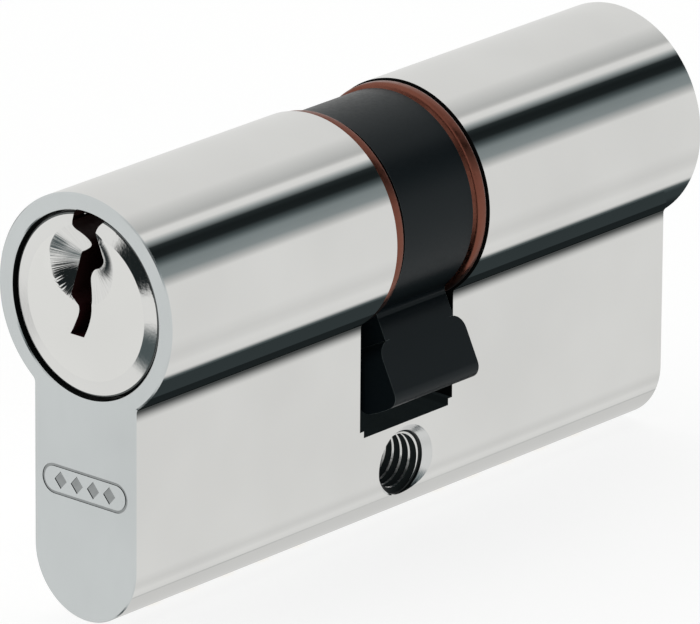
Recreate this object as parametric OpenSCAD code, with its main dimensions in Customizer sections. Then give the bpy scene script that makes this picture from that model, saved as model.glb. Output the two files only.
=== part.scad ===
// Double lock cylinder in the Euro profile, 30 + 30 mm, five pins a side.
// Origin: the middle of the fixing screw hole. +Y runs along the cylinder to the
// rear key face, +X is the side that the cam's nose leans to, +Z is up.

/* [Housing] */
// Length of each half, from the fixing screw to the key face
half_length = 30; // [29:0.5:45]
// Radius of the round head
head_r = 8.5; // [8.45:0.05:8.6]
// Thickness of the flat web below the head
web_w = 10; // [9.8:0.05:10.2]
// Height of the plug axis above the fixing screw
axis_z = 19.3; // [19:0.1:19.6]
// Distance from the fixing screw down to the round bottom of the web
web_drop = 5.2; // [5.1:0.05:5.4]
// Radius of the recess round the plug in each key face
face_recess_r = 7.12; // [7:0.02:7.3]
// Depth of that recess
face_recess_depth = 1.6; // [1.5:0.05:2]

/* [Fixing screw hole] */
// Radius of the hole, the minor radius of an M5 thread
screw_r = 2.1; // [2:0.05:2.2]
// Radius of the countersink at each side of the web
countersink_r = 3.05; // [2.8:0.05:3.1]

/* [Cam slot] */
// Half the width of the slot that the cam turns in
slot_half = 5.25; // [5.2:0.05:5.4]
// Depth of the slot below the plug axis
slot_depth = 15.4; // [15.3:0.1:15.5]
// Half the width of the shallow step in the slot's floor
step_half = 4.8; // [4.5:0.1:5]
// Depth of that step below the slot's floor
step_depth = 0.53; // [0.3:0.05:0.6]

/* [Plug] */
// Radius of the plug
plug_r = 6.5; // [6.4:0.05:6.5]
// Radius of the collar behind the plug's face
collar_r = 6.88; // [6.8:0.02:6.92]
// Thickness of the collar
collar_length = 1.4; // [1.2:0.1:1.5]
// How far the plug's face stands back from the key face
face_setback = 0.15; // [0.1:0.05:0.2]
// Radius of the funnel that leads the key in
funnel_r = 3.1; // [2.8:0.1:3.2]
// Depth of the funnel at its middle
funnel_depth = 1.24; // [1:0.02:1.4]

/* [Pins] */
// Number of pin chambers on each side
pin_count = 5; // [3:1:5]
// Distance from the key face to the first pin
first_pin = 6; // [5.5:0.5:6]
// Distance from pin to pin
pin_pitch = 4; // [3.6:0.1:4]
// Radius of a pin
pin_r = 1.47; // [1.4:0.01:1.48]
// Length of a driver pin
driver_length = 5.2; // [4.8:0.1:5.4]
// Diameter of the spring wire
spring_wire = 0.35; // [0.3:0.01:0.4]
// Turns in a pin spring
spring_turns = 9; // [7:1:9]

/* [Cam] */
// Outer radius of the cam's ring
cam_ring_r = 8.05; // [8:0.05:8.1]
// Reach of the cam's nose from the plug axis
cam_reach = 15; // [14.8:0.1:15.1]
// Thickness of the nose
nose_t = 4; // [3.6:0.1:4.4]
// Half the length of the ring along the plug axis
cam_half = 3.85; // [3.7:0.05:3.9]
// Half the width of the nose below its shoulders
nose_half = 4.75; // [4.5:0.05:4.8]
// Angle of the nose from straight down
cam_lean = 26; // [0:1:40]

/* [Hidden] */
$fn = 72;
SIDES = ["front", "rear"];
FAR = 0.5;                      // how far a cutting shape runs past the surface it cuts
RUNNING = 0.03;                 // radial clearance of the plug in its bore
PIN_GAP = 0.06;                 // radial clearance of a pin in its chamber
web_half = web_w / 2;
web_round_z = web_half - web_drop;
bore_r = plug_r + RUNNING;
cam_bore_r = plug_r + 0.05;
chamber_r = pin_r + PIN_GAP;
plug_face_y = half_length - face_setback;
bevel_start_r = 5.65;           // the plug's face falls away outside this radius
bevel_drop = 0.3;
funnel_x = -0.4;
funnel_z = 3.1;
funnel_bottom_r = 0.05;

// circlip and its groove
clip_in = 4.2;                  // nearer side of the circlip, from the middle of the cylinder
clip_out = 5.15;
clip_outer_r = 8.15;
clip_inner_r = 5.95;
clip_edge = 0.2;
clip_mouth = 35;                // half the angle of the circlip's open side
groove_gap = 0.05;

// coupling between the two plugs
plug_end = 1.6;                 // end of the plug, from the middle of the cylinder
recess_r = 5.25;
recess_end = 3.3;
disc_r = 5.1;
disc_half = 0.75;
disc_pitch = 1.6;               // distance from one coupling disc to the other
tab_half_w = 4.5;
tab_half_t = 1.55;
tab_reach = 3.85;               // length of the tab behind its disc
tab_slot_end = 6.3;
tab_gap = 0.1;
notch_half = 1.6;
notch_floor = 4.3;
tooth_half_w = 1.5;
tooth_half_l = 0.7;
tooth_r = 4.4;
rivet_r = 0.8;
rivet_head_r = 1.1;
rivet_head_t = 0.8;

// pin stacks, heights from the plug axis
key_pin_foot = -6.4;            // the key pins end here and the plug turns free
key_pin_chamfer = 0.3;
key_pin_foot_r = 1.1;
driver_top = -6.56;
pin_tip_r = 0.5;
pin_cone = 1;
chamber_cone_r = 0.58;
chamber_top = 2.3;
spring_r = 1.12;                // radius of the spring's middle line
spring_sides = 6;
spring_steps = 8;
spring_end_lead = 0.42;         // rise of the closed turn at each end of a spring
stopper_top = -2.8;             // top of the brass stopper, from the fixing screw
tips_front = [-1.2, 0.6, -0.4, 1.0, 0.2];
tips_rear = [0.4, -0.8, 0.9, -0.2, 0.7];

// Outline of the keyway, x and height from the plug axis, open at the plug's top
keyway = [
  [-1.33, plug_r + 1], [-1.33, 6.9], [-1.45, 5.7], [-0.55, 5.25], [0.05, 4.75],
  [0, 4.4], [-0.7, 3.9], [-1.35, 3.55], [-1.5, 0.9], [-1.55, 0.45], [-0.9, 0.05],
  [-0.6, -0.2], [-0.65, -0.8], [-0.9, -1.35], [-1.2, -2], [-1.5, -2.5],
  [-0.15, -2.5], [0.2, -1.8], [0.45, -1.1], [0.6, -0.45], [0.6, 0.3], [0.4, 0.8],
  [0.15, 1.3], [-0.15, 1.85], [-0.15, 2.25], [0.05, 2.55], [0.8, 2.85],
  [1.4, 3.55], [1.15, 4], [1, 4.95], [0.9, 5.5], [1.05, 6.15], [1.4, 6.55],
  [1.7, 6.75], [1.7, plug_r + 1]
];

function pin_y(i) = half_length - first_pin - pin_pitch * (i - 1);
function tips(side) = side == "front" ? tips_front : tips_rear;
function arc(c, r, from, to, n = 8) =
  [for (k = [0:n]) c + r * [cos(from + (to - from) * k / n), sin(from + (to - from) * k / n)]];

// A round bar along Y, from y0 to y1, on the plug axis
module bar(r, y0, y1) {
  translate([0, y0, axis_z]) rotate([-90, 0, 0]) cylinder(r = r, h = y1 - y0);
}

// A tapered round bar along Y on the plug axis
module taper(r0, r1, y0, y1) {
  translate([0, y0, axis_z]) rotate([-90, 0, 0]) cylinder(r1 = r0, r2 = r1, h = y1 - y0);
}

// An outline in X and Z about the plug axis, stretched from y0 to y1
module prism(y0, y1) {
  translate([0, y1, axis_z]) rotate([90, 0, 0]) linear_extrude(height = y1 - y0) children();
}

// The children where they are for the front, or turned half round for the rear
module on_side(side) {
  rotate([0, 0, side == "front" ? 0 : 180]) children();
}

module web_bottom_bar(y0, y1) {
  translate([0, y0, web_round_z]) rotate([-90, 0, 0]) cylinder(r = web_half, h = y1 - y0);
}

// The countersunk screw hole across the web
module screw_hole() {
  cone = countersink_r - screw_r;
  rotate([0, 90, 0]) cylinder(r = screw_r, h = web_w + 2 * FAR, center = true);
  for (flip = [0, 180])
    rotate([0, 0, flip]) translate([web_half - cone, 0, 0]) rotate([0, 90, 0])
      cylinder(r1 = screw_r, r2 = countersink_r + FAR, h = cone + FAR);
}

// The slot for the cam, with the shallow step in its floor
module cam_slot() {
  wide = 2 * head_r + 2 * FAR;
  top = axis_z + head_r + FAR;
  floor_z = axis_z - slot_depth;
  translate([-wide / 2, -slot_half, floor_z]) cube([wide, 2 * slot_half, top - floor_z]);
  translate([-wide / 2, -step_half, floor_z - step_depth])
    cube([wide, 2 * step_half, step_depth + FAR]);
}

module cylinder_body() color([0.78, 0.79, 0.79]) difference() {
  union() {
    bar(head_r, -half_length, half_length);
    translate([-web_half, -half_length, web_round_z])
      cube([web_w, 2 * half_length, axis_z - web_round_z]);
    web_bottom_bar(-half_length, half_length);
  }
  bar(bore_r, -half_length - FAR, half_length + FAR);
  for (side = SIDES) on_side(side) {
    bar(face_recess_r, -half_length - FAR, -half_length + face_recess_depth);
    for (i = [1:pin_count])
      translate([0, -pin_y(i), -web_drop - FAR])
        cylinder(r = chamber_r, h = axis_z + web_drop - plug_r / 2);
  }
  cam_slot();
  screw_hole();
}

// One chamber in the plug, with its coned top
module plug_chamber(y) translate([0, y, axis_z]) {
  cone_z = chamber_top - pin_cone;
  translate([0, 0, -plug_r - 1]) cylinder(r = chamber_r, h = plug_r + 1 + cone_z);
  translate([0, 0, cone_z]) cylinder(r1 = chamber_r, r2 = chamber_cone_r, h = pin_cone);
}

module plug() color([0.76, 0.77, 0.76]) difference() {
  union() {
    taper(bevel_start_r, collar_r, -plug_face_y, -plug_face_y + bevel_drop);
    bar(collar_r, -plug_face_y + bevel_drop, -plug_face_y + collar_length);
    bar(plug_r, -plug_face_y + bevel_drop, -plug_end);
  }
  // groove for the circlip
  difference() {
    bar(plug_r + FAR, -clip_out - groove_gap, -clip_in + groove_gap);
    bar(clip_inner_r - groove_gap, -clip_out - FAR, -clip_in + FAR);
  }
  // room for the coupling
  bar(recess_r, -recess_end, -plug_end + FAR);
  translate([-tab_half_w - tab_gap, -tab_slot_end, axis_z - tab_half_t - tab_gap])
    cube([2 * (tab_half_w + tab_gap), tab_slot_end - plug_end + FAR, 2 * (tab_half_t + tab_gap)]);
  prism(-half_length - FAR, -plug_end + FAR) polygon(keyway);
  translate([funnel_x, 0, funnel_z])
    taper(funnel_r, funnel_bottom_r, -plug_face_y, -plug_face_y + funnel_depth);
  for (i = [1:pin_count]) plug_chamber(-pin_y(i));
}

module plug_front() plug();
module plug_rear() on_side("rear") plug();

// Side outline of the nose, hanging straight down: root fillets, flanks and round tip
module nose_outline() {
  half = nose_t / 2;
  root_inner_r = (plug_r + cam_ring_r) / 2;
  fillet = 0.8;
  corner = 0.7;
  root_x = half + fillet;
  reach = cam_ring_r + fillet - 0.03;
  root_z = -sqrt(reach * reach - root_x * root_x);
  foot = atan2(root_x, -root_z);
  corner_x = half - corner;
  corner_z = -sqrt(pow(cam_reach - corner, 2) - corner_x * corner_x);
  tip = atan2(corner_x, -corner_z);
  right = concat(
    [[root_inner_r * sin(foot), -root_inner_r * cos(foot)]],
    arc([root_x, root_z], fillet, 90 + foot, 180, 6),
    arc([corner_x, corner_z], corner, 0, -90 + tip, 6)
  );
  left = [for (k = [len(right) - 1:-1:0]) [-right[k][0], right[k][1]]];
  under = arc([0, 0], cam_reach, -90 + tip, -90 - tip, 6);
  polygon(concat(right, [for (k = [1:5]) under[k]], left));
}

// Face-on outline of the nose: the ring's width, then shoulders out to the nose's full width
module shoulder_outline() {
  shoulder = 0.8;
  shoulder_r = 10.1;
  right = concat(
    [[cam_half, -plug_r / 2], [cam_half, -shoulder_r]],
    arc([nose_half - shoulder, -shoulder_r - shoulder], shoulder, 90, 0, 6),
    [[nose_half, -cam_reach - 1]]
  );
  polygon(concat(right, [for (k = [len(right) - 1:-1:0]) [-right[k][0], right[k][1]]]));
}

// The cam: a ring with its nose, and a tooth inside that a coupling disc takes hold of
module cam() color([0.13, 0.14, 0.15]) union() {
  rotate_on_axis(-cam_lean) difference() {
    union() {
      bar(cam_ring_r, -cam_half, cam_half);
      intersection() {
        prism(-nose_half - FAR, nose_half + FAR) nose_outline();
        translate([-nose_t * 2, 0, axis_z]) rotate([90, 0, 90])
          linear_extrude(height = nose_t * 4) shoulder_outline();
      }
    }
    bar(cam_bore_r, -nose_half - FAR, nose_half + FAR);
  }
  translate([-tooth_half_w, -tooth_half_l, axis_z + tooth_r])
    cube([2 * tooth_half_w, 2 * tooth_half_l, cam_bore_r + FAR - tooth_r]);
}

// The children turned about the plug axis
module rotate_on_axis(angle) {
  translate([0, 0, axis_z]) rotate([0, angle, 0]) translate([0, 0, -axis_z]) children();
}

module circlip(side) color([0.62, 0.36, 0.25]) on_side(side) difference() {
  union() {
    taper(clip_outer_r - clip_edge, clip_outer_r, -clip_out, -clip_out + clip_edge);
    bar(clip_outer_r, -clip_out + clip_edge, -clip_in - clip_edge);
    taper(clip_outer_r, clip_outer_r - clip_edge, -clip_in - clip_edge, -clip_in);
  }
  bar(clip_inner_r, -clip_out - FAR, -clip_in + FAR);
  prism(-clip_out - FAR, -clip_in + FAR)
    polygon([[0, 0], 2 * head_r * [sin(clip_mouth), -cos(clip_mouth)],
             2 * head_r * [-sin(clip_mouth), -cos(clip_mouth)]]);
}

// A notched disc with its flat tab, for the front plug; the disc's middle is at y
module coupling_half(y) {
  difference() {
    union() {
      bar(disc_r, y - disc_half, y + disc_half);
      translate([-tab_half_w, y - disc_half - tab_reach, axis_z - tab_half_t])
        cube([2 * tab_half_w, tab_reach + disc_half, 2 * tab_half_t]);
    }
    translate([-notch_half, y - disc_half - FAR, axis_z + notch_floor])
      cube([2 * notch_half, 2 * disc_half + 2 * FAR, disc_r]);
  }
}

module coupling_front() color([0.55, 0.56, 0.58]) difference() {
  coupling_half(0);
  bar(rivet_r, -tab_reach - disc_half - FAR, disc_half + FAR);
}

module coupling_rear() color([0.5, 0.52, 0.54]) difference() {
  on_side("rear") coupling_half(-disc_pitch);
  bar(rivet_r + RUNNING, disc_pitch - disc_half - FAR, disc_pitch + disc_half + tab_reach + FAR);
  bar(rivet_head_r + 0.1, rivet_floor() - 0.02, disc_pitch + disc_half + tab_reach + FAR);
}

function rivet_floor() = disc_pitch + disc_half + 0.5;

module coupling_rivet() color([0.7, 0.6, 0.35]) {
  bar(rivet_r, -3, rivet_floor() + 0.1);
  bar(rivet_head_r, rivet_floor() + 0.05, rivet_floor() + 0.05 + rivet_head_t);
}

// A key pin: bevelled foot on the shear line, plain barrel, coned tip on the key
module key_pin(side, i) color([0.8, 0.66, 0.36]) on_side(side) {
  tip = tips(side)[i - 1];
  barrel_foot = key_pin_foot + key_pin_chamfer;
  translate([0, -pin_y(i), axis_z]) {
    translate([0, 0, key_pin_foot])
      cylinder(r1 = key_pin_foot_r, r2 = pin_r, h = key_pin_chamfer);
    translate([0, 0, barrel_foot]) cylinder(r = pin_r, h = tip - pin_cone - barrel_foot);
    translate([0, 0, tip - pin_cone]) cylinder(r1 = pin_r, r2 = pin_tip_r, h = pin_cone);
  }
}

// A driver pin: a spool with a waist, so that it resists being picked
module driver_pin(side, i) color([0.72, 0.73, 0.74]) on_side(side) {
  waist = pin_r - 0.35;
  land = driver_length / 4;
  translate([0, -pin_y(i), axis_z + driver_top - driver_length]) difference() {
    cylinder(r = pin_r, h = driver_length);
    if (i % 2 == 0) difference() {
      translate([0, 0, land]) cylinder(r = pin_r + FAR, h = driver_length - 2 * land);
      cylinder(r = waist, h = driver_length);
    }
  }
}

// Height of a spring's middle line after t turns: closed turns at both ends
function spring_rise(t, height) =
  let(open = (height - spring_wire - 2 * spring_end_lead) / (spring_turns - 2))
  t < 1 ? t * spring_end_lead
  : t > spring_turns - 1 ? height - spring_wire - (spring_turns - t) * spring_end_lead
  : spring_end_lead + (t - 1) * open;

// A coil of round wire standing on z = 0
module coil_spring(height) {
  wire_r = spring_wire / 2;
  rings = spring_turns * spring_steps;
  points = [for (k = [0:rings], s = [0:spring_sides - 1])
    let(turn = 360 * k / spring_steps, roll = 360 * s / spring_sides,
        r = spring_r + wire_r * cos(roll))
    [r * cos(turn), r * sin(turn),
     wire_r + spring_rise(k / spring_steps, height) + wire_r * sin(roll)]];
  sides = [for (k = [0:rings - 1], s = [0:spring_sides - 1])
    let(a = k * spring_sides + s, b = k * spring_sides + (s + 1) % spring_sides)
    each [[a, b, b + spring_sides], [a, b + spring_sides, a + spring_sides]]];
  first = [for (s = [spring_sides - 1:-1:0]) s];
  last = [for (s = [0:spring_sides - 1]) rings * spring_sides + s];
  polyhedron(points = points, faces = concat(sides, [first], [last]), convexity = 10);
}

module spring(side, i) color([0.66, 0.67, 0.69]) on_side(side) {
  height = axis_z + driver_top - driver_length - stopper_top;
  translate([0, -pin_y(i), stopper_top]) coil_spring(height);
}

// The brass stoppers that close the chambers, trimmed to the round bottom of the web
module stoppers(side) color([0.78, 0.62, 0.32]) on_side(side) intersection() {
  union() {
    for (i = [1:pin_count])
      translate([0, -pin_y(i), -web_drop - FAR])
        cylinder(r = chamber_r, h = stopper_top + web_drop + FAR);
  }
  union() {
    web_bottom_bar(-half_length, 0);
    translate([-web_half, -half_length, web_round_z]) cube([web_w, half_length, web_half]);
  }
}

cylinder_body();
plug_front();
plug_rear();
cam();
circlip("front");  // circlip_front
circlip("rear");  // circlip_rear
coupling_front();
coupling_rear();
coupling_rivet();
stoppers("front");  // stoppers_front
stoppers("rear");  // stoppers_rear
for (side = SIDES, i = [1:pin_count]) {
  key_pin(side, i);
  driver_pin(side, i);
  spring(side, i);
}
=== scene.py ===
from math import atan2, cos, degrees, pi, radians, sin, sqrt, tan

import bmesh
import bpy
from mathutils import Matrix, Vector


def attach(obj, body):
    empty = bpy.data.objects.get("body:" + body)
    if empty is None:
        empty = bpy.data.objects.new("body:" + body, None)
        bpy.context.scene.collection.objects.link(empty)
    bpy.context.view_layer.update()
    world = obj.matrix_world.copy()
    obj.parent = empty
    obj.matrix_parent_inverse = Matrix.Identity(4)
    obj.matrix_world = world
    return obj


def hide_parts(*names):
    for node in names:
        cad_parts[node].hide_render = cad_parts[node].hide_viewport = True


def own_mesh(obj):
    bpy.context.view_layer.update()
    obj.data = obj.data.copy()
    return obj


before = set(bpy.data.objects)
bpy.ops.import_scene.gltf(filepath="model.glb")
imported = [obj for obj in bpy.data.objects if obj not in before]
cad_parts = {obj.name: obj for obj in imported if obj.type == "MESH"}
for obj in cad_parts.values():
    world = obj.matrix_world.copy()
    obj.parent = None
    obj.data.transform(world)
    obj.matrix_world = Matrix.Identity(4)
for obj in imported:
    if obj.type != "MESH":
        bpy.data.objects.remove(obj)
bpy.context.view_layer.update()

# ---------------------------------------------------------------- sizes, in millimetres
MM = 0.001
SIDES = ("front", "rear")
PINS = range(1, 6)
BEYOND = 1.0            # how far a cutter runs past what it cuts
TOUCH = 0.01            # slack when faces are picked by where they lie

HALF = 30.0             # half the cylinder's length
AXIS_Z = 19.3           # height of the plug axis above the fixing screw
HEAD_R = 8.5
FILLET = 0.55           # where the head meets the web
WEB_HALF = 5.0
ROUND_Z = -0.2          # centre of the web's round bottom
EDGE = 0.1              # chamfer round each key face

BORE_R = 6.53
RECESS_R = 7.2
RECESS_DEPTH = 1.6
RECESS_LIP = 0.08       # chamfer at the mouth of the recess
CHAMBER_R = 1.53
CHAMBER_FOOT = -8.0     # below the round bottom, where the chambers are drilled from
CHAMBER_TOP = AXIS_Z - 4
FIRST_PIN = 6.0         # from the key face
PIN_PITCH = 4.0
SLOT_HALF = 5.25
SLOT_FLOOR = AXIS_Z - 15.4
STEP_HALF = 4.8
STEP_FLOOR = SLOT_FLOOR - 0.53

THREAD_MINOR = 2.1
THREAD_MAJOR = 2.5
THREAD_PITCH = 0.8
COUNTERSINK_R = 3.05
SINK_END = WEB_HALF - (COUNTERSINK_R - THREAD_MAJOR)
RELIEF = 0.25           # width of the groove behind the countersink
LEAD = 0.4              # length of the chamfer on the first thread
LEAD_R = THREAD_MAJOR - 0.2

PLUG_FACE = HALF - 0.1
PLUG_R = 6.5
PLUG_END = 1.6          # inner end, from the middle of the cylinder
PLUG_END_EDGE = 0.1
COLLAR_R = 7.0
COLLAR_T = 1.4
CUP_R = 5.25            # recess in the inner end, for the coupling
CUP_FLOOR = 3.3
TAB_HALF_W = 4.6        # slot in the cup's floor, for the coupling's tab
TAB_HALF_H = 1.65
TAB_END = 6.3
BEVEL_START_R = 5.7
BEVEL_ANGLE = 11.0
RIM_ROUND = 0.25
FUNNEL = (-0.4, 3.1)    # x, and height from the plug axis
FUNNEL_R = 3.1
FUNNEL_DEPTH = 1.24
PIN_CONE = (1.3, 2.3)   # where a key pin's chamber narrows, from the plug axis
PIN_CONE_R = 0.58

CAM_RING_R = 8.05
CAM_BORE_R = 6.55
CAM_HALF = 3.85
CAM_LEAN = 26.0
CAM_REACH = 15.0
NOSE_HALF = 4.75
NOSE_T = 4.0
SHOULDER_R = 10.1       # where the nose widens, from the plug axis
SHOULDER = 1.2
CAM_EDGE = 0.07
TOOTH_R = 4.4
TOOTH_ROOT_R = 7.0      # inside the ring's wall
TOOTH_HALF_W = 1.5
TOOTH_HALF_T = 0.7

CLIP_IN = 4.2
CLIP_OUT = 5.15
CLIP_OUTER_R = 8.38
CLIP_INNER_R = 5.95
CLIP_MOUTH = 35.0       # half the angle of its open side
CLIP_EDGE = 0.3
CLIP_GAP = 0.05         # between the clip and its groove

SPRING_FOOT = -2.8
SPRING_TOP = 7.54
SPRING_R = 1.12
WIRE_R = 0.175
SPRING_TURNS = 9
SPRING_LEAD = 0.42      # rise of each closed end turn

STAMP_Z = 5.2           # middle of the stamp on the front face
STAMP_W = 8.4
STAMP_H = 2.35
STAMP_LINE = 0.22       # width of its border
STAMP_DEPTH = 0.1
LOZENGES = (-2.4, -0.8, 0.8, 2.4)
LOZENGE_HALF_W = 0.6
LOZENGE_HALF_H = 0.68

# Outline of the keyway: x and height from the plug axis, left side down and right side up
KEYWAY_LEFT = [
    (-1.33, 7.4), (-1.33, 6.9), (-1.45, 5.7), (-0.55, 5.25), (0.05, 4.75), (0, 4.4), (-0.7, 3.9),
    (-1.35, 3.55), (-1.5, 0.9), (-1.55, 0.45), (-0.9, 0.05), (-0.6, -0.2), (-0.65, -0.8),
    (-0.9, -1.35), (-1.2, -2), (-1.5, -2.5),
]
KEYWAY_RIGHT = [
    (-0.15, -2.5), (0.2, -1.8), (0.45, -1.1), (0.6, -0.45), (0.6, 0.3), (0.4, 0.8), (0.15, 1.3),
    (-0.15, 1.85), (-0.15, 2.25), (0.05, 2.55), (0.8, 2.85), (1.4, 3.55), (1.15, 4), (1, 4.95),
    (0.9, 5.5), (1.05, 6.15), (1.4, 6.55), (1.7, 6.75), (1.7, 7.4),
]


# ---------------------------------------------------------------- mesh tools
def new_object(name, verts, faces):
    """A mesh object from points in millimetres."""
    mesh = bpy.data.meshes.new(name)
    mesh.from_pydata([[c * MM for c in v] for v in verts], [], faces)
    mesh.validate()
    bm = bmesh.new()
    bm.from_mesh(mesh)
    bmesh.ops.remove_doubles(bm, verts=bm.verts, dist=1e-8)
    bmesh.ops.recalc_face_normals(bm, faces=bm.faces)
    bm.to_mesh(mesh)
    bm.free()
    obj = bpy.data.objects.new(name, mesh)
    bpy.context.scene.collection.objects.link(obj)
    return obj


def loft(name, rings):
    """A closed solid through rings of points, capped at both ends."""
    count = len(rings[0])
    verts = [p for ring in rings for p in ring]
    faces = []
    for k in range(len(rings) - 1):
        for i in range(count):
            j = (i + 1) % count
            faces.append((k * count + i, k * count + j, (k + 1) * count + j, (k + 1) * count + i))
    faces.append(tuple(range(count)))
    faces.append(tuple(reversed(range((len(rings) - 1) * count, len(rings) * count))))
    return new_object(name, verts, faces)


def prism_y(name, outline, y0, y1):
    """An outline of (x, z) points stretched along Y."""
    return loft(name, [[(x, y, z) for x, z in outline] for y in (y0, y1)])


def prism_x(name, outline, x0, x1):
    """An outline of (y, z) points stretched along X."""
    return loft(name, [[(x, y, z) for y, z in outline] for x in (x0, x1)])


def lathe(name, profile, segments=144, axis="y", centre=(0, AXIS_Z)):
    """A closed profile of (along, radius) points turned about a line along an axis."""
    verts, faces, rows = [], [], []
    for along, radius in profile:
        if radius == 0:
            rows.append([len(verts)] * segments)
            verts.append(place(along, 0, 0, axis, centre))
            continue
        rows.append(list(range(len(verts), len(verts) + segments)))
        for i in range(segments):
            t = 2 * pi * i / segments
            verts.append(place(along, radius * sin(t), radius * cos(t), axis, centre))
    for k in range(len(rows)):
        a, b = rows[k], rows[(k + 1) % len(rows)]
        for i in range(segments):
            j = (i + 1) % segments
            face = []
            for v in (a[i], a[j], b[j], b[i]):
                if v not in face:
                    face.append(v)
            if len(face) > 2:
                faces.append(face)
    return new_object(name, verts, faces)


def place(along, side, up, axis, centre):
    """A point given along and across an axis, as x, y, z."""
    if axis == "y":
        return (centre[0] + side, along, centre[1] + up)
    if axis == "x":
        return (along, centre[0] + side, centre[1] + up)
    return (centre[0] + side, centre[1] + up, along)


def arc(cx, cz, r, start, end, steps):
    """Points on an arc, with angles in degrees from +x towards +z."""
    angles = [radians(start + (end - start) * k / steps) for k in range(steps + 1)]
    return [(cx + r * cos(t), cz + r * sin(t)) for t in angles]


def combine(target, cutter, operation="DIFFERENCE"):
    """Target cut by, joined with or kept inside the cutter, which is used up."""
    mod = target.modifiers.new("cut", "BOOLEAN")
    mod.object = cutter
    mod.operation = operation
    mod.solver = "EXACT"
    apply_modifiers(target)
    bpy.data.objects.remove(cutter)
    return target


def apply_modifiers(obj):
    """The object's mesh as its modifiers leave it."""
    graph = bpy.context.evaluated_depsgraph_get()
    graph.update()
    mesh = bpy.data.meshes.new_from_object(obj.evaluated_get(graph))
    obj.modifiers.clear()
    obj.data = mesh


def soften(obj, width, segments=2, angle=30, material=-1):
    """Bevels every edge sharper than an angle, if asked in another of the object's materials."""
    mod = obj.modifiers.new("bevel", "BEVEL")
    mod.width = width * MM
    mod.segments = segments
    mod.limit_method = "ANGLE"
    mod.angle_limit = radians(angle)
    mod.material = material
    apply_modifiers(obj)


def smooth(obj, angle=30):
    """Cleans a mesh and shades it smooth, with sharp edges kept and flat faces left truly flat."""
    bm = bmesh.new()
    bm.from_mesh(obj.data)
    bmesh.ops.remove_doubles(bm, verts=bm.verts, dist=2e-7)
    bmesh.ops.dissolve_degenerate(bm, edges=bm.edges, dist=1e-7)
    bmesh.ops.delete(bm, geom=[v for v in bm.verts if not v.link_faces], context="VERTS")
    for face in bm.faces:
        face.smooth = True
    for edge in bm.edges:
        edge.smooth = len(edge.link_faces) == 2 and edge.calc_face_angle(pi) < radians(angle)
    bm.to_mesh(obj.data)
    bm.free()
    mod = obj.modifiers.new("flat_faces", "WEIGHTED_NORMAL")
    mod.keep_sharp = True
    mod.weight = 100


def rounded(points, rounds=2):
    """An open line of points with its corners cut, ends kept."""
    for _ in range(rounds):
        out = [points[0]]
        for (ax, az), (bx, bz) in zip(points, points[1:]):
            out.append((ax * 0.75 + bx * 0.25, az * 0.75 + bz * 0.25))
            out.append((ax * 0.25 + bx * 0.75, az * 0.25 + bz * 0.75))
        points = out + [points[-1]]
    return points


def finish_piece(obj, body, slot, materials, *nodes):
    """Gives a piece its materials and its body and hides the CAD nodes that it stands for; its slot is
    not used.
    """
    indices = [poly.material_index for poly in obj.data.polygons]
    obj.data.materials.clear()
    for material in materials:
        obj.data.materials.append(material)
    obj.data.polygons.foreach_set("material_index", indices)
    smooth(obj)
    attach(obj, body)
    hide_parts(*nodes)
    return obj


def assign(obj, test, index):
    """Puts a material index on the faces whose centre, in millimetres, and normal pass a test."""
    for poly in obj.data.polygons:
        if test(poly.center / MM, poly.normal):
            poly.material_index = index


def turned_about_axis(point, angle):
    """A point (x, z), given from the plug axis, turned from straight down towards +x."""
    t = radians(angle)
    x, z = point
    return (x * cos(t) - z * sin(t), AXIS_Z + x * sin(t) + z * cos(t))


# ---------------------------------------------------------------- materials
CLOUD_SCALE = 90        # features a metre of the slow change in colour
BUMP_HEIGHT = 0.00002   # metres
LINE_HEIGHT = 0.00003


def new_material(name):
    """A material with its node tree and its shader."""
    material = bpy.data.materials.new(name)
    material.use_nodes = True
    tree = material.node_tree
    return material, tree, tree.nodes["Principled BSDF"]


def add(tree, kind, **settings):
    """A new node with its settings."""
    node = tree.nodes.new(kind)
    for key, value in settings.items():
        setattr(node, key, value)
    return node


def link(tree, source, out, target, into):
    """Joins an output of one node to an input of another."""
    tree.links.new(source.outputs[out], target.inputs[into])


def noise_at(tree, scale, detail=2.0, stretch=(1, 1, 1)):
    """Noise in object space; scale is in features a metre, stretch squeezes it along an axis."""
    coord = add(tree, "ShaderNodeTexCoord")
    mapping = add(tree, "ShaderNodeMapping")
    mapping.inputs["Scale"].default_value = stretch
    noise = add(tree, "ShaderNodeTexNoise")
    noise.inputs["Scale"].default_value = scale
    noise.inputs["Detail"].default_value = detail
    link(tree, coord, "Object", mapping, "Vector")
    link(tree, mapping, "Vector", noise, "Vector")
    return noise


def ranged(tree, source, out, low, high, from_low=0.3, from_high=0.7):
    """A value spread from the range that noise mostly stays in to low..high."""
    node = add(tree, "ShaderNodeMapRange")
    node.inputs["From Min"].default_value = from_low
    node.inputs["From Max"].default_value = from_high
    node.inputs["To Min"].default_value = low
    node.inputs["To Max"].default_value = high
    link(tree, source, out, node, "Value")
    return node


def bumped(tree, shader, source, out, strength, distance):
    """Raises the surface by a value; distance is in metres."""
    bump = add(tree, "ShaderNodeBump")
    bump.inputs["Strength"].default_value = strength
    bump.inputs["Distance"].default_value = distance
    link(tree, source, out, bump, "Height")
    link(tree, bump, "Normal", shader, "Normal")


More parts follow.
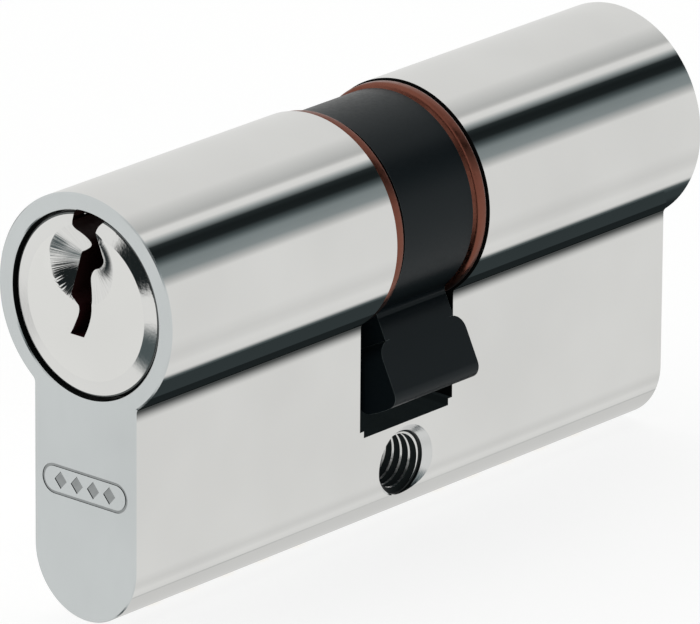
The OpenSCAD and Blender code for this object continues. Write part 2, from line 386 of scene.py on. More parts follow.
def metal(name, colour, rough, bump=0.0, scale=900, stretch=(1, 1, 1), tint=None):
    """A bare or plated metal whose roughness, colour and surface vary a little."""
    material, tree, shader = new_material(name)
    shader.inputs["Metallic"].default_value = 1.0
    noise = noise_at(tree, scale, 3.0, stretch)
    rough_range = ranged(tree, noise, "Fac", rough[0], rough[1])
    link(tree, rough_range, "Result", shader, "Roughness")
    cloud = noise_at(tree, CLOUD_SCALE, 2.0)
    mix = add(tree, "ShaderNodeMix", data_type="RGBA")
    mix.inputs["A"].default_value = (*colour, 1)
    mix.inputs["B"].default_value = (*(tint or [c * 0.94 for c in colour]), 1)
    link(tree, ranged(tree, cloud, "Fac", 0, 1), "Result", mix, "Factor")
    link(tree, mix, "Result", shader, "Base Color")
    if bump:
        bumped(tree, shader, noise, "Fac", bump, BUMP_HEIGHT)
    return material


def dull(name, colour, rough, bump=0.1, scale=1500, specular=0.5, tint=None):
    """A dark surface that is not metallic, such as an oxide, or a bore made near black as painted shade.
    """
    material = metal(name, colour, rough, bump, scale, tint=tint)
    shader = material.node_tree.nodes["Principled BSDF"]
    shader.inputs["Metallic"].default_value = 0.0
    shader.inputs["Specular IOR Level"].default_value = specular
    shader.inputs["Specular Tint"].default_value = (0.82, 0.95, 1, 1)
    return material


def turned(name, colour, rough, centre, lines, strength):
    """A metal with fine lines that run out from a centre (x, z), like a cutter's chatter marks."""
    material, tree, shader = new_material(name)
    shader.inputs["Metallic"].default_value = 1.0
    coord = add(tree, "ShaderNodeTexCoord")
    split = add(tree, "ShaderNodeSeparateXYZ")
    across = add(tree, "ShaderNodeMath", operation="SUBTRACT")
    above = add(tree, "ShaderNodeMath", operation="SUBTRACT")
    across.inputs[1].default_value = centre[0] * MM
    above.inputs[1].default_value = centre[1] * MM
    angle = add(tree, "ShaderNodeMath", operation="ARCTAN2")
    noise = add(tree, "ShaderNodeTexNoise", noise_dimensions="1D")
    noise.inputs["Scale"].default_value = lines
    noise.inputs["Detail"].default_value = 3.0
    link(tree, coord, "Object", split, "Vector")
    link(tree, split, "X", across, 0)
    link(tree, split, "Z", above, 0)
    link(tree, across, "Value", angle, 0)
    link(tree, above, "Value", angle, 1)
    link(tree, angle, "Value", noise, "W")
    link(tree, ranged(tree, noise, "Fac", rough[0], rough[1]), "Result", shader, "Roughness")
    bumped(tree, shader, noise, "Fac", strength, LINE_HEIGHT)
    mix = add(tree, "ShaderNodeMix", data_type="RGBA")
    mix.inputs["A"].default_value = (*colour, 1)
    mix.inputs["B"].default_value = (*[c * 0.92 for c in colour], 1)
    link(tree, ranged(tree, noise, "Fac", 0, 1), "Result", mix, "Factor")
    link(tree, mix, "Result", shader, "Base Color")
    return material


def darken_band(material, low, high, level):
    """Fades a metal to a dark level as height goes from low to high, and stops just above."""
    tree = material.node_tree
    shader = tree.nodes["Principled BSDF"]
    before = shader.inputs["Base Color"].links[0].from_socket
    coord = add(tree, "ShaderNodeTexCoord")
    split = add(tree, "ShaderNodeSeparateXYZ")
    fade = add(tree, "ShaderNodeMapRange", interpolation_type="SMOOTHSTEP")
    fade.inputs["From Min"].default_value = low * MM
    fade.inputs["From Max"].default_value = high * MM
    ended = add(tree, "ShaderNodeMath", operation="LESS_THAN")
    ended.inputs[1].default_value = (high + 0.1) * MM
    both = add(tree, "ShaderNodeMath", operation="MULTIPLY")
    mix = add(tree, "ShaderNodeMix", data_type="RGBA")
    mix.inputs["B"].default_value = (level, level * 1.2, level * 1.2, 1)
    link(tree, coord, "Object", split, "Vector")
    link(tree, split, "Z", fade, "Value")
    link(tree, split, "Z", ended, 0)
    link(tree, fade, "Result", both, 0)
    link(tree, ended, "Value", both, 1)
    link(tree, both, "Value", mix, "Factor")
    tree.links.new(before, mix.inputs["A"])
    link(tree, mix, "Result", shader, "Base Color")


# The corner under the head, where the housing shades itself: heights, and how dark it gets
CORNER_SHADE = (11.35, 12.4, 0.03)

nickel = metal("polished_nickel", (0.82, 0.82, 0.81), (0.03, 0.07), 0.0, 300, (1, 0.05, 1))
darken_band(nickel, *CORNER_SHADE)
nickel_face = metal("satin_nickel", (0.72, 0.755, 0.765), (0.18, 0.24), 0.05, 1500, (1, 1, 0.3))
# painted shade: near black for the shade in the plug's gap, the bore and the pin chambers
painted_bore_shade = dull("bore_painted_shade", (0.004, 0.005, 0.005), (0.5, 0.7), specular=0.05)
# painted shade: the thread's flanks are near black for the shade between its ridges
painted_thread_shade = dull("thread_flank", (0.006, 0.009, 0.009), (0.3, 0.5), 0.3, 3000, 0.12)
thread_crest = metal("thread_crest", (0.9, 0.9, 0.89), (0.25, 0.4), 0.1, 3000)
stamp_floor = metal("stamp_floor", (0.42, 0.44, 0.445), (0.3, 0.42), 0.2, 2500)
sink_nickel = metal("countersink_nickel", (0.74, 0.75, 0.75), (0.04, 0.1), 0.6, 3000, (6, 0.3, 0.3))
plug_nickel = metal("plug_nickel", (0.90, 0.90, 0.885), (0.05, 0.09), 0.01, 900)
plug_bevel = metal("plug_bevel", (0.87, 0.87, 0.86), (0.03, 0.06), 0.1, 4000)
# painted shade: the plug's round rim is dark for the shade of the gap round it
painted_rim_shade = metal("painted_rim_shade", (0.14, 0.15, 0.15), (0.2, 0.35), 0.1, 3000)
plug_funnel = turned("plug_funnel", (0.88, 0.88, 0.87), (0.04, 0.11),
                     (FUNNEL[0], AXIS_Z + FUNNEL[1]), 20, 0.25)
# painted shade: the keyway's walls are near black for the shade inside the narrow keyway
painted_keyway_shade = dull("keyway_wall", (0.011, 0.007, 0.005), (0.45, 0.65), specular=0.08,
                   tint=(0.035, 0.005, 0.008))
copper = metal("copper_bronze", (0.25, 0.095, 0.065), (0.24, 0.4), 0.25, 2200,
               tint=(0.17, 0.055, 0.038))
cam_black = dull("black_oxide", (0.005, 0.0085, 0.011), (0.32, 0.4), 0.06, 3500, 0.2)
# painted highlight: the cam's bevelled edges are lighter to stand for the light they catch
painted_edge_highlight = dull("painted_edge_highlight", (0.09, 0.115, 0.115), (0.3, 0.4), 0.1, 3500, 0.5)
steel = metal("bare_steel", (0.56, 0.57, 0.58), (0.2, 0.35), 0.15, 1500)
spring_wire = metal("spring_wire", (0.62, 0.63, 0.65), (0.12, 0.25), 0.1, 2500)
brass = metal("turned_brass", (0.80, 0.62, 0.30), (0.15, 0.28), 0.15, 2500, (1, 1, 4))

BODY_LOOKS = (nickel, nickel_face, painted_bore_shade, painted_thread_shade, thread_crest, sink_nickel, stamp_floor)
PLUG_LOOKS = (plug_nickel, plug_bevel, plug_funnel, painted_keyway_shade, painted_bore_shade, painted_rim_shade)
CAM_LOOKS = (cam_black, painted_edge_highlight)


# ---------------------------------------------------------------- housing
def euro_outline(inset=0.0):
    """The Euro profile, as (x, z) points, inset by a chamfer's width."""
    r, half, fillet = HEAD_R - inset, WEB_HALF - inset, FILLET + inset
    below = sqrt((r + fillet) ** 2 - (half + fillet) ** 2)
    foot = degrees(atan2(half + fillet, below))
    near = 0.05         # a flat strip above the round bottom keeps the web truly flat
    head = arc(0, AXIS_Z, r, -90 + foot, 270 - foot, 180)
    left = arc(-half - fillet, AXIS_Z - below, fillet, 90 - foot, 0, 8)[1:]
    left.append((-half, ROUND_Z + near))
    bottom = arc(0, ROUND_Z, half, 180, 360, 80)
    right = [(-x, z) for x, z in reversed(left)]
    return head + left + bottom + right


def thread_cutter():
    """A screw along X whose ridges cut the hole's thread."""
    turns, steps = 16, 64
    start = -turns * THREAD_PITCH / 2
    crest, root = 0.2, 0.12
    slope = (THREAD_PITCH - crest - root) / 2
    corners = [(0, THREAD_MINOR), (crest, THREAD_MINOR), (crest + slope, THREAD_MAJOR),
               (crest + slope + root, THREAD_MAJOR)]
    verts, faces = [], []
    for k in range(turns * steps + 1):
        t = 2 * pi * k / steps
        for offset, radius in corners:
            x = start + THREAD_PITCH * k / steps + offset
            verts.append((x, radius * sin(t), radius * cos(t)))
    width = len(corners)
    last = turns * steps
    for k in range(last):
        for m in range(width - 1):
            a = k * width + m
            faces.append((a, a + width, a + width + 1, a + 1))
        if k + steps <= last:
            a, b = k * width + width - 1, (k + steps) * width
            if k + 1 + steps <= last:
                faces.append((a, a + width, b + width, b))
    # close each end with a fan
    for rim, x in ((end_rim(0, steps, width, True), start - BEYOND),
                   (end_rim(last - steps, steps, width, False), -start + 2 * BEYOND)):
        centre = len(verts)
        verts.append((x, 0, 0))
        for a, b in zip(rim, rim[1:] + rim[:1]):
            faces.append((centre, a, b))
    return new_object("thread", verts, faces)


def end_rim(first, steps, width, low):
    """The loop of points round one end of the screw."""
    if low:
        turn = [(first + k) * width for k in range(steps + 1)]
        return turn + [first * width + m for m in range(width - 1, 0, -1)]
    turn = [(first + k) * width + width - 1 for k in range(steps + 1)]
    return turn + [(first + steps) * width + m for m in range(width - 2, -1, -1)]


def stadium(width, height, cx, cz, steps=24):
    """A slot outline with round ends."""
    r = height / 2
    x = width / 2 - r
    return arc(cx + x, cz, r, -90, 90, steps) + arc(cx - x, cz, r, 90, 270, steps)


def stamp_cutters():
    """The stadium-shaped border and the row of lozenges inside it."""
    front = -HALF - 0.2
    deep = -HALF + STAMP_DEPTH
    inner = stadium(STAMP_W - 2 * STAMP_LINE, STAMP_H - 2 * STAMP_LINE, 0, STAMP_Z)
    ring = prism_y("ring", stadium(STAMP_W, STAMP_H, 0, STAMP_Z), front, deep)
    yield combine(ring, prism_y("hole", inner, front - BEYOND, deep + BEYOND))
    for x in LOZENGES:
        outline = [(x + LOZENGE_HALF_W, STAMP_Z), (x, STAMP_Z + LOZENGE_HALF_H),
                   (x - LOZENGE_HALF_W, STAMP_Z), (x, STAMP_Z - LOZENGE_HALF_H)]
        yield prism_y("lozenge", outline, front, deep)


def bore_cutter():
    """The plug bore with a chamfered recess in each key face."""
    floor = HALF - RECESS_DEPTH
    half_bore = [(floor, BORE_R), (floor, RECESS_R), (HALF - RECESS_LIP, RECESS_R),
                 (HALF + BEYOND, RECESS_R + RECESS_LIP + BEYOND)]
    mirrored = [(-y, r) for y, r in reversed(half_bore)]
    return lathe("bore", [(-HALF - BEYOND, 0)] + mirrored + half_bore + [(HALF + BEYOND, 0)], 160)


def countersink_cutter(s):
    """One side of the screw hole: first thread's chamfer, relief groove, 90 degree cone."""
    groove = SINK_END - RELIEF
    lead = groove - LEAD
    profile = [(lead, 0), (lead, LEAD_R - LEAD), (groove, LEAD_R), (groove, THREAD_MAJOR),
               (SINK_END, THREAD_MAJOR), (WEB_HALF + BEYOND, COUNTERSINK_R + BEYOND),
               (WEB_HALF + BEYOND, 0)]
    return lathe("countersink", [(s * along, r) for along, r in profile], 96, "x", (0, 0))


def make_body():
    """The housing: Euro profile, plug bore, cam slot, pin chambers, threaded hole and stamp."""
    rings = []
    for y, inset in ((-HALF, EDGE), (-HALF + EDGE, 0), (HALF - EDGE, 0), (HALF, EDGE)):
        rings.append([(x, y, z) for x, z in euro_outline(inset)])
    body = loft("housing", rings)
    combine(body, bore_cutter())
    across = HEAD_R + BEYOND
    slot = rectangle(SLOT_HALF, SLOT_FLOOR, AXIS_Z + HEAD_R + BEYOND)
    combine(body, prism_x("slot", slot, -across, across))
    combine(body, prism_x("step", rectangle(STEP_HALF, STEP_FLOOR, SLOT_FLOOR + BEYOND), -across, across))
    for side in SIDES:
        for i in PINS:
            hole = [(CHAMBER_FOOT, 0), (CHAMBER_FOOT, CHAMBER_R), (CHAMBER_TOP, CHAMBER_R),
                    (CHAMBER_TOP, 0)]
            combine(body, lathe("chamber", hole, 48, "z", (0, pin_y(side, i))))
    combine(body, thread_cutter())
    for s in (-1, 1):
        combine(body, countersink_cutter(s))
    for cutter in stamp_cutters():
        combine(body, cutter)
    finish_body_faces(body)
    body.visible_glossy = False
    return finish_piece(body, "housing", "body_nickel", BODY_LOOKS, "cylinder_body")


def from_axis(c):
    """A point's distance from the plug axis."""
    return sqrt(c.x ** 2 + (c.z - AXIS_Z) ** 2)


def from_screw(c):
    """A point's distance from the screw's axis; the round bottom's skin never counts as near."""
    skin = c.z < ROUND_Z and sqrt(c.x ** 2 + (c.z - ROUND_Z) ** 2) > WEB_HALF - 0.05
    return WEB_HALF if skin else sqrt(c.y ** 2 + c.z ** 2)


def finish_body_faces(body):
    """Satin key faces, bores and chambers near black as painted shade, thread flanks dark as painted
    shade with bright crests, bright cones, grey stamp.
    """
    first_thread = SINK_END - RELIEF - LEAD

    def key_face(c, n):
        return abs(n.y) > 0.5 and abs(c.y) > HALF - 0.3

    def bore(c, n):
        return from_axis(c) < RECESS_R + TOUCH and abs(c.y) < HALF - RECESS_LIP - TOUCH

    def chamber(c, n):
        side = abs(n.z) < 0.9 and abs(n.y) < 0.999
        below = abs(c.x) < CHAMBER_R and c.z < AXIS_Z - BORE_R
        return side and below and SLOT_HALF < abs(c.y) < HALF - 0.2

    def stamp(c, n):
        sunk = TOUCH - HALF < c.y < STAMP_DEPTH + TOUCH - HALF
        return n.y < -0.9 and sunk and abs(c.x) < STAMP_W / 2 and c.z < AXIS_Z - HEAD_R

    def thread(c, n):
        return from_screw(c) < THREAD_MAJOR + TOUCH and abs(c.x) < SINK_END + TOUCH

    def thread_top(c, n):
        return from_screw(c) < THREAD_MINOR + 2 * TOUCH and abs(n.x) < 0.2

    def cone(c, n):
        return 0.6 < abs(n.x) < 0.8

    def thread_lead(c, n):
        return cone(c, n) and from_screw(c) < LEAD_R + 0.05 and abs(c.x) > first_thread - 0.05

    def countersink(c, n):
        return cone(c, n) and from_screw(c) < COUNTERSINK_R and abs(c.x) > SINK_END

    # later ones win where two hold
    for test, look in ((key_face, nickel_face), (bore, painted_bore_shade), (chamber, painted_bore_shade),
                       (stamp, stamp_floor), (thread, painted_thread_shade), (thread_top, thread_crest),
                       (thread_lead, thread_crest), (countersink, sink_nickel)):
        assign(body, test, BODY_LOOKS.index(look))


def rectangle(half, low, high):
    """A rectangle centred across, from low to high."""
    return [(-half, low), (half, low), (half, high), (-half, high)]


def pin_y(side, i):
    """Where a pin stands along the cylinder."""
    y = HALF - FIRST_PIN - PIN_PITCH * (i - 1)
    return -y if side == "front" else y


# ---------------------------------------------------------------- plugs
def plug_profile(face):
    """Half the plug's section as (along, radius), from the face to the cup for the coupling."""
    tilt = radians(BEVEL_ANGLE)
    slope = tan(tilt)
    reach = COLLAR_R - RIM_ROUND * (1 - sin(tilt)) - BEVEL_START_R
    centre = face + reach * slope + RIM_ROUND * cos(tilt)
    rim = arc(centre, COLLAR_R - RIM_ROUND, RIM_ROUND, 180 - BEVEL_ANGLE, 90, 10)
    # rings close to both ends of the bevel keep it a true cone when shaded
    close = 0.06
    bevel = [(face + (r - BEVEL_START_R) * slope, r) for r in
             (BEVEL_START_R, BEVEL_START_R + close, COLLAR_R - RIM_ROUND - 0.04)]
    groove_out, groove_in = -CLIP_OUT - CLIP_GAP, -CLIP_IN + CLIP_GAP
    groove_r = CLIP_INNER_R - CLIP_GAP
    return [(face, 0), (face, BEVEL_START_R - close)] + bevel + rim + [
        (face + COLLAR_T, COLLAR_R), (face + COLLAR_T, PLUG_R),
        (groove_out, PLUG_R), (groove_out, groove_r), (groove_in, groove_r), (groove_in, PLUG_R),
        (-PLUG_END - PLUG_END_EDGE, PLUG_R), (-PLUG_END, PLUG_R - PLUG_END_EDGE),
        (-PLUG_END, CUP_R), (-CUP_FLOOR, CUP_R), (-CUP_FLOOR, 0),
    ]


def make_plug(side):
    """A plug with keyway, funnel, tab slot and chambers, made at the front and turned for the rear."""
    face = -PLUG_FACE
    plug = lathe("plug", plug_profile(face), 160)
    outline = rounded(KEYWAY_LEFT) + rounded(KEYWAY_RIGHT)
    combine(plug, prism_y("keyway", [(x, AXIS_Z + z) for x, z in outline], -HALF - BEYOND, 0))
    over = 0.5
    mouth_r = FUNNEL_R * (1 + over / FUNNEL_DEPTH)
    cone = [(face - over, 0), (face - over, mouth_r), (face + FUNNEL_DEPTH, 0)]
    combine(plug, lathe("funnel", cone, 128, "y", (FUNNEL[0], AXIS_Z + FUNNEL[1])))
    slot = rectangle(TAB_HALF_W, AXIS_Z - TAB_HALF_H, AXIS_Z + TAB_HALF_H)
    combine(plug, prism_y("tab_slot", slot, -TAB_END, 0))
    for i in PINS:
        low, shoulder, top = (AXIS_Z + z for z in (CHAMBER_FOOT, *PIN_CONE))
        hole = [(low, 0), (low, CHAMBER_R), (shoulder, CHAMBER_R), (top, PIN_CONE_R), (top, 0)]
        combine(plug, lathe("chamber", hole, 48, "z", (0, pin_y("front", i))))
    finish_plug_faces(plug, face)
    if side == "rear":
        plug.data.transform(Matrix.Rotation(pi, 4, "Z"))
    plug.name = "rotor_" + side
    return finish_piece(plug, "plug_" + side, "plug_nickel", PLUG_LOOKS, "plug_" + side)


def finish_plug_faces(plug, face):
    """Bright bevel, rim painted dark and collar side painted near black as painted shade from the gap
    round the plug, keyway walls dark as painted shade, and turned funnel.
    """
    collar_end = face + COLLAR_T + TOUCH
    funnel_slant = cos(atan2(FUNNEL_DEPTH, FUNNEL_R))

    def bevel(c, n):
        return c.y < face + 0.5 and from_axis(c) > BEVEL_START_R and n.y < -0.1

    def rim(c, n):
        return from_axis(c) > COLLAR_R - RIM_ROUND + TOUCH and c.y < collar_end

    def collar_side(c, n):
        return from_axis(c) > COLLAR_R - 0.09 and c.y < collar_end

    def keyway_in_collar(c, n):
        return -0.05 < n.y < 0.9 and c.y < collar_end and from_axis(c) < COLLAR_R - 2 * TOUCH

    def funnel(c, n):
        slanted = abs(n.y + funnel_slant) < 0.01
        return slanted and c.y < face + FUNNEL_DEPTH and from_axis(c) < BEVEL_START_R

    def keyway(c, n):
        return abs(n.y) < 0.05 and c.y < -6 and from_axis(c) < BEVEL_START_R + 0.6

    # later ones win where two hold
    for test, look in ((bevel, plug_bevel), (rim, painted_rim_shade), (collar_side, painted_bore_shade),
                       (keyway_in_collar, painted_keyway_shade), (funnel, plug_funnel), (keyway, painted_keyway_shade)):
        assign(plug, test, PLUG_LOOKS.index(look))


# ---------------------------------------------------------------- cam
def cam_outline():
    """The nose from the side, as (x, z) from the plug axis, hanging straight down."""
    half, fillet, corner = NOSE_T / 2, 0.5, 1.0
    root_x = half + fillet
    reach = CAM_RING_R + fillet
    root_z = -sqrt(reach ** 2 - root_x ** 2)
    foot = degrees(atan2(root_x, -root_z))
    corner_x = half - corner
    corner_z = -sqrt((CAM_REACH - corner) ** 2 - corner_x ** 2)
    tip = degrees(atan2(corner_x, -corner_z))
    right = arc(root_x, root_z, fillet, 90 + foot, 180, 10)
    right += arc(corner_x, corner_z, corner, 0, -90 + tip, 8)
    under = arc(0, 0, CAM_REACH, -90 + tip, -90 - tip, 8)[1:-1]
    left = [(-x, z) for x, z in reversed(right)]
    ring = arc(0, 0, CAM_RING_R, -90 - foot, -450 + foot, 150)[1:-1]
    return right + under + left + ring


def make_cam():
    """The cam: a ring with a nose wider than it, bevelled edges made lighter as a painted highlight, and
    a tooth inside for the coupling.
    """
    outline = [turned_about_axis(p, CAM_LEAN) for p in cam_outline()]
    cam = prism_y("cam_ring", outline, -NOSE_HALF, NOSE_HALF)
    clear = 12
    right = [(CAM_HALF, clear), (CAM_HALF, -SHOULDER_R)]
    right += arc(NOSE_HALF - SHOULDER, -SHOULDER_R - SHOULDER, SHOULDER, 90, 0, 8)
    right += [(NOSE_HALF + 0.01, -CAM_REACH - BEYOND)]
    face_on = right + [(-y, z) for y, z in reversed(right)]
    block = prism_x("face_on", [(y, AXIS_Z + z) for y, z in face_on], -clear, clear)
    block.data.transform(Matrix.Translation((0, 0, AXIS_Z * MM))
                         @ Matrix.Rotation(radians(-CAM_LEAN), 4, "Y")
                         @ Matrix.Translation((0, 0, -AXIS_Z * MM)))
    combine(cam, block, "INTERSECT")
    for material in CAM_LOOKS:
        cam.data.materials.append(material)
    # the bevels get the painted highlight
    soften(cam, CAM_EDGE, material=CAM_LOOKS.index(painted_edge_highlight))
    end = NOSE_HALF + BEYOND
    combine(cam, lathe("cam_bore", [(-end, 0), (-end, CAM_BORE_R), (end, CAM_BORE_R), (end, 0)], 144))
    tooth = rectangle(TOOTH_HALF_W, AXIS_Z + TOOTH_R, AXIS_Z + TOOTH_ROOT_R)
    combine(cam, prism_y("tooth", tooth, -TOOTH_HALF_T, TOOTH_HALF_T), "UNION")
    cam.visible_glossy = False
    return finish_piece(cam, "cam", "cam_black", CAM_LOOKS, "cam")


# ---------------------------------------------------------------- circlips
def make_circlip(side):
    """An open ring with round edges and round ends, its mouth turned down."""
    far, near = CLIP_OUT - CLIP_EDGE, CLIP_IN + CLIP_EDGE
    outer, inner = CLIP_OUTER_R - CLIP_EDGE, CLIP_INNER_R + CLIP_EDGE
    section = []
    for k, (y, r) in enumerate(((far, outer), (near, outer), (near, inner), (far, inner))):
        section += arc(y, r, CLIP_EDGE, 90 * k, 90 * k + 90, 5)
    rings = []
    steps = 120
    for k in range(steps + 1):
        t = radians(180 + CLIP_MOUTH + (360 - 2 * CLIP_MOUTH) * k / steps)
        rings.append([(r * sin(t), -y, AXIS_Z + r * cos(t)) for y, r in section])
    clip = loft("snap_ring_" + side, rings)
    soften(clip, 0.1, 2, 50)
    if side == "rear":
        clip.data.transform(Matrix.Rotation(pi, 4, "Z"))
    return finish_piece(clip, "plug_" + side, "circlip_copper", (copper,), "circlip_" + side)


# ---------------------------------------------------------------- springs
def make_spring(side, i):
    """A coil with closed ends."""
    steps, around = 20, 10
    height = SPRING_TOP - SPRING_FOOT - 2 * WIRE_R
    open_turns = SPRING_TURNS - 2
    rings = []
    for k in range(SPRING_TURNS * steps + 1):
        turn = k / steps
        if turn < 1:
            rise = turn * SPRING_LEAD
        elif turn > SPRING_TURNS - 1:
            rise = height - (SPRING_TURNS - turn) * SPRING_LEAD
        else:
            rise = SPRING_LEAD + (turn - 1) * (height - 2 * SPRING_LEAD) / open_turns
        t = 2 * pi * turn
        middle = SPRING_FOOT + WIRE_R + rise
        ring = []
        for s in range(around):
            p = 2 * pi * s / around
            r = SPRING_R + WIRE_R * cos(p)
            ring.append((r * cos(t), pin_y(side, i) + r * sin(t), middle + WIRE_R * sin(p)))
        rings.append(ring)
    name = f"{side}_{i}"
    spring = loft("coil_" + name, rings)
    spring.visible_glossy = False
    finish_piece(spring, "housing", "spring_steel", (spring_wire,), "spring_" + name)
    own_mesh(spring)


# ---------------------------------------------------------------- pieces
# Pieces with visible_glossy off don't show in reflections; the studio's cards stand for the
# housing there.
make_body()
make_cam()
for side in SIDES:
    make_plug(side)
    make_circlip(side)
    for i in PINS:
        make_spring(side, i)

CARRIED_OVER = {
    "coupling_front": steel, "coupling_rear": steel, "coupling_rivet": brass,
    "stoppers_front": brass, "stoppers_rear": brass,
}
for side in SIDES:
    for i in PINS:
        CARRIED_OVER[f"key_pin_{side}_{i}"] = brass
        CARRIED_OVER[f"driver_pin_{side}_{i}"] = steel
for node, material in CARRIED_OVER.items():
    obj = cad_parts[node]
    obj.data.materials.clear()
    obj.data.materials.append(material)
    obj.visible_glossy = False


# ---------------------------------------------------------------- studio
# Light round the cylinder: degrees about its axis, from straight up towards +x, and level.
# The strips run all along it; the wide dark flag in BEHIND stands behind the cylinder only.
STRIPS = [
    (-12, 0.64), (10, 0.43), (13, 0.47), (16, 0.68), (21, 0.66), (26, 0.28), (31, 0.02), (36, 0.011),
    (42, 0.013), (47, 0.07), (53, 0.21), (62, 0.24), (68, 0.43), (73, 0.65), (128, 0.65), (143, 0.59),
    (150, 0.61), (157, 0.66), (168, 0.63), (173, 0.08), (178, 0.04),
]
BEHIND = STRIPS + [(-168, 0.034), (-156, 0.015), (-128, 0.015), (-121, 0.64)]
BEFORE = STRIPS + [(-177, 0.04), (-171, 0.64)]
BRIGHT = 0.65
LIGHT_GAIN = 1.22
BACKDROP = 0.995
# Where the flag and the plain bright front fade in and out, as a direction's y
FLAG_STARTS = (0.6, 0.65)
FLAG_ENDS = (0.77, 0.82)
FRONT_STARTS = (-0.76, -0.84)
# Dark cards in front: direction, angle where each is full, angle where it ends, level
CARDS = [
    ((-0.25, -0.965, 0.03), 14.2, 16.4, 0.012),
    ((-0.31, -0.83, -0.46), 3.0, 8.5, 0.08),
    ((0.0, -0.883, -0.47), 3.0, 17.0, 0.11),
    ((-0.93, 0.05, -0.36), 16.0, 27.5, 0.02),
]

# Camera: azimuth, elevation and roll in degrees, aim in millimetres, distance in metres
CAMERA_TURN = (41.05, 19.79, 0.44)
CAMERA_AIM = (-0.64, 0, AXIS_Z - 8.6)
CAMERA_DISTANCE = 0.782
CAMERA_LENS = 538


def strip_ramp(tree, turn, strips):
    """The strips as a colour ramp round the cylinder."""
    ramp = add(tree, "ShaderNodeValToRGB")
    stops = sorted((((a + 180) % 360) / 360, level) for a, level in strips)
    elements = ramp.color_ramp.elements
    for k, (position, level) in enumerate(stops):
        element = elements[k] if k < 2 else elements.new(position)
        element.position = position
        element.color = (*shade(level), 1)
    link(tree, turn, "Result", ramp, "Fac")
    return ramp


def shade(level):
    """A level as a colour, a little blue-green where it is dark."""
    dark = max(0.0, 1 - level / 0.45)
    return (level * (1 - 0.22 * dark), level * (1 + 0.04 * dark), level * (0.985 + 0.11 * dark))


def stepped(tree, source, out, start, end):
    """A smooth step from 0 at start to 1 at end."""
    node = add(tree, "ShaderNodeMapRange", interpolation_type="SMOOTHSTEP")
    flip = start > end
    node.inputs["From Min"].default_value = min(start, end)
    node.inputs["From Max"].default_value = max(start, end)
    node.inputs["To Min"].default_value = 1.0 if flip else 0.0
    node.inputs["To Max"].default_value = 0.0 if flip else 1.0
    link(tree, source, out, node, "Value")
    return node


def mixed(tree, factor, below, above):
    """Two colours mixed; below is a node, above is a node or a plain colour."""
    mix = add(tree, "ShaderNodeMix", data_type="RGBA")
    link(tree, factor, "Result", mix, "Factor")
    tree.links.new(below.outputs["Result" if "Result" in below.outputs else "Color"], mix.inputs["A"])
    if isinstance(above, tuple):
        mix.inputs["B"].default_value = (*above, 1)
    else:
        link(tree, above, "Color", mix, "B")
    return mix


def make_world():
    """Studio light that depends on direction only: strips, a bright front and the dark cards."""
    world = bpy.data.worlds.new("studio")
    world.use_nodes = True
    bpy.context.scene.world = world
    tree = world.node_tree
    tree.nodes.clear()
    coord = add(tree, "ShaderNodeTexCoord")
    split = add(tree, "ShaderNodeSeparateXYZ")
    angle = add(tree, "ShaderNodeMath", operation="ARCTAN2")
    turn = add(tree, "ShaderNodeMapRange")
    turn.inputs["From Min"].default_value = -pi
    turn.inputs["From Max"].default_value = pi
    link(tree, coord, "Generated", split, "Vector")
    link(tree, split, "X", angle, 0)
    link(tree, split, "Z", angle, 1)
    link(tree, angle, "Value", turn, "Value")
    around = strip_ramp(tree, turn, BEFORE)
    behind = strip_ramp(tree, turn, BEHIND)
    colour = mixed(tree, stepped(tree, split, "Y", *FLAG_STARTS), around, behind)
    colour = mixed(tree, stepped(tree, split, "Y", *FLAG_ENDS), colour, around)
    colour = mixed(tree, stepped(tree, split, "Y", *FRONT_STARTS), colour, shade(BRIGHT))
    for direction, full, end, level in CARDS:
        dot = add(tree, "ShaderNodeVectorMath", operation="DOT_PRODUCT")
        link(tree, coord, "Generated", dot, 0)
        dot.inputs[1].default_value = Vector(direction).normalized()
        card = stepped(tree, dot, "Value", cos(radians(end)), cos(radians(full)))
        colour = mixed(tree, card, colour, shade(level))
    light = add(tree, "ShaderNodeBackground")
    light.inputs["Strength"].default_value = LIGHT_GAIN
    seen = add(tree, "ShaderNodeBackground")
    seen.inputs["Color"].default_value = (BACKDROP, BACKDROP, BACKDROP, 1)
    path = add(tree, "ShaderNodeLightPath")
    mix = add(tree, "ShaderNodeMixShader")
    output = add(tree, "ShaderNodeOutputWorld")
    link(tree, colour, "Result", light, "Color")
    link(tree, path, "Is Camera Ray", mix, 0)
    tree.links.new(light.outputs[0], mix.inputs[1])
    tree.links.new(seen.outputs[0], mix.inputs[2])
    link(tree, mix, 0, output, "Surface")


def make_card(name, low, high, level):
    """A plain card or block that only reflections see."""
    (x0, y0, z0), (x1, y1, z1) = low, high
    verts = [(x, y, z) for x in (x0, x1) for y in (y0, y1) for z in (z0, z1)]
    faces = [(0, 1, 3, 2), (4, 6, 7, 5), (0, 4, 5, 1), (2, 3, 7, 6), (0, 2, 6, 4), (1, 5, 7, 3)]
    card = new_object(name, verts, faces)
    material = bpy.data.materials.new(name)
    material.use_nodes = True
    tree = material.node_tree
    tree.nodes.clear()
    glow = add(tree, "ShaderNodeEmission")
    glow.inputs["Color"].default_value = (*shade(level), 1)
    glow.inputs["Strength"].default_value = LIGHT_GAIN
    link(tree, glow, 0, add(tree, "ShaderNodeOutputMaterial"), "Surface")
    card.data.materials.append(material)
    for flag in ("visible_camera", "visible_diffuse", "visible_transmission", "visible_volume_scatter",
                 "visible_shadow"):
        setattr(card, flag, False)


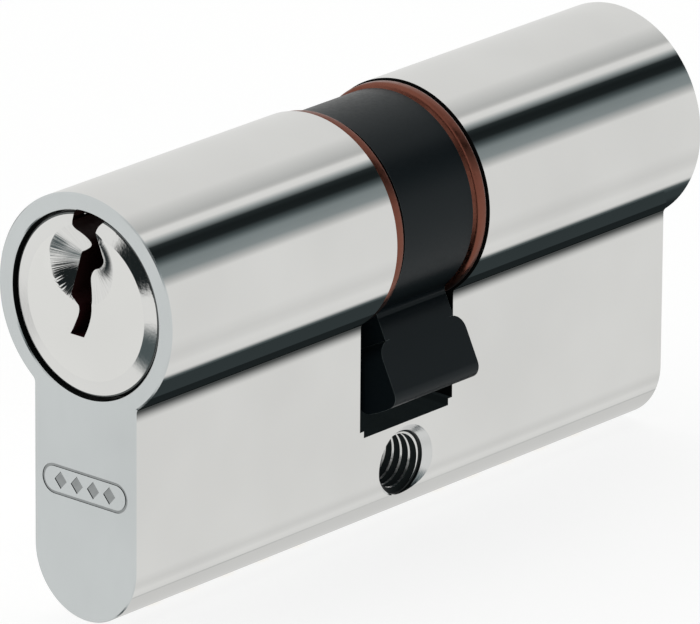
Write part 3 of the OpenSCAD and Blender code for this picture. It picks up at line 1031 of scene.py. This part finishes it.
def make_cards():
    """What reflections see close by: a pale card under the round bottom, dark cores inside
    the web, which stand for its shaded side, and dark ledges just below the head."""
    web, end, slot = WEB_HALF - 0.1, HALF - 0.3, SLOT_HALF + 0.3
    thin = 0.05
    floor_z = ROUND_Z - WEB_HALF - thin
    core_top, slot_top, ledge_z = 12, 11.8, 12.6
    ledge_start, ledge_middle, ledge_end = WEB_HALF + 0.02, 5.95, 7.7
    make_card("floor_card", (-10, -HALF, floor_z - thin), (WEB_HALF, HALF + 3.5, floor_z), 0.55)
    make_card("core_front", (-web, -end, ROUND_Z), (web, -slot, core_top), 0.014)
    make_card("core_rear", (-web, slot, ROUND_Z), (web, end, core_top), 0.014)
    make_card("core_slot", (-web, -slot, STEP_FLOOR - 0.1), (web, slot, slot_top), 0.006)
    make_card("ledge_near", (ledge_start, -end, ledge_z), (ledge_middle, end, ledge_z + thin), 0.013)
    make_card("ledge_far", (ledge_middle, -end, ledge_z), (ledge_end, end, ledge_z + thin), 0.034)


def make_floor():
    """A plain pale floor just under the round bottom, bright enough to meet the backdrop."""
    floor_z = ROUND_Z - WEB_HALF - 0.02
    size = 3000
    floor = new_object("floor", [(-size, -size, floor_z), (size, -size, floor_z),
                                 (size, size, floor_z), (-size, size, floor_z)], [(0, 1, 2, 3)])
    material, tree, shader = new_material("pale_floor")
    shader.inputs["Base Color"].default_value = (0.4, 0.4, 0.4, 1)
    shader.inputs["Roughness"].default_value = 0.9
    shader.inputs["Specular IOR Level"].default_value = 0.0
    shader.inputs["Emission Color"].default_value = (1, 1, 1, 1)
    shader.inputs["Emission Strength"].default_value = 0.76
    floor.data.materials.append(material)
    floor.visible_glossy = False
    floor.visible_diffuse = False


def make_camera():
    """A long lens, seen from the front right and a little above, aimed near the middle."""
    azimuth, elevation, roll = (radians(a) for a in CAMERA_TURN)
    back = Vector((sin(azimuth) * cos(elevation), -cos(azimuth) * cos(elevation), sin(elevation)))
    right = Vector((0, 0, 1)).cross(back).normalized()
    up = back.cross(right)
    data = bpy.data.cameras.new("camera")
    camera = bpy.data.objects.new("camera", data)
    bpy.context.scene.collection.objects.link(camera)
    across = right * cos(roll) + up * sin(roll)
    above = up * cos(roll) - right * sin(roll)
    place_at = Vector(CAMERA_AIM) * MM + back * CAMERA_DISTANCE
    camera.matrix_world = Matrix((
        (across.x, above.x, back.x, place_at.x),
        (across.y, above.y, back.y, place_at.y),
        (across.z, above.z, back.z, place_at.z),
        (0, 0, 0, 1)))
    data.sensor_width = 36
    data.lens = CAMERA_LENS
    data.clip_start = 0.05
    data.clip_end = 20
    bpy.context.scene.camera = camera


make_world()
make_cards()
make_floor()
make_camera()
bpy.context.scene.view_settings.view_transform = "Standard"
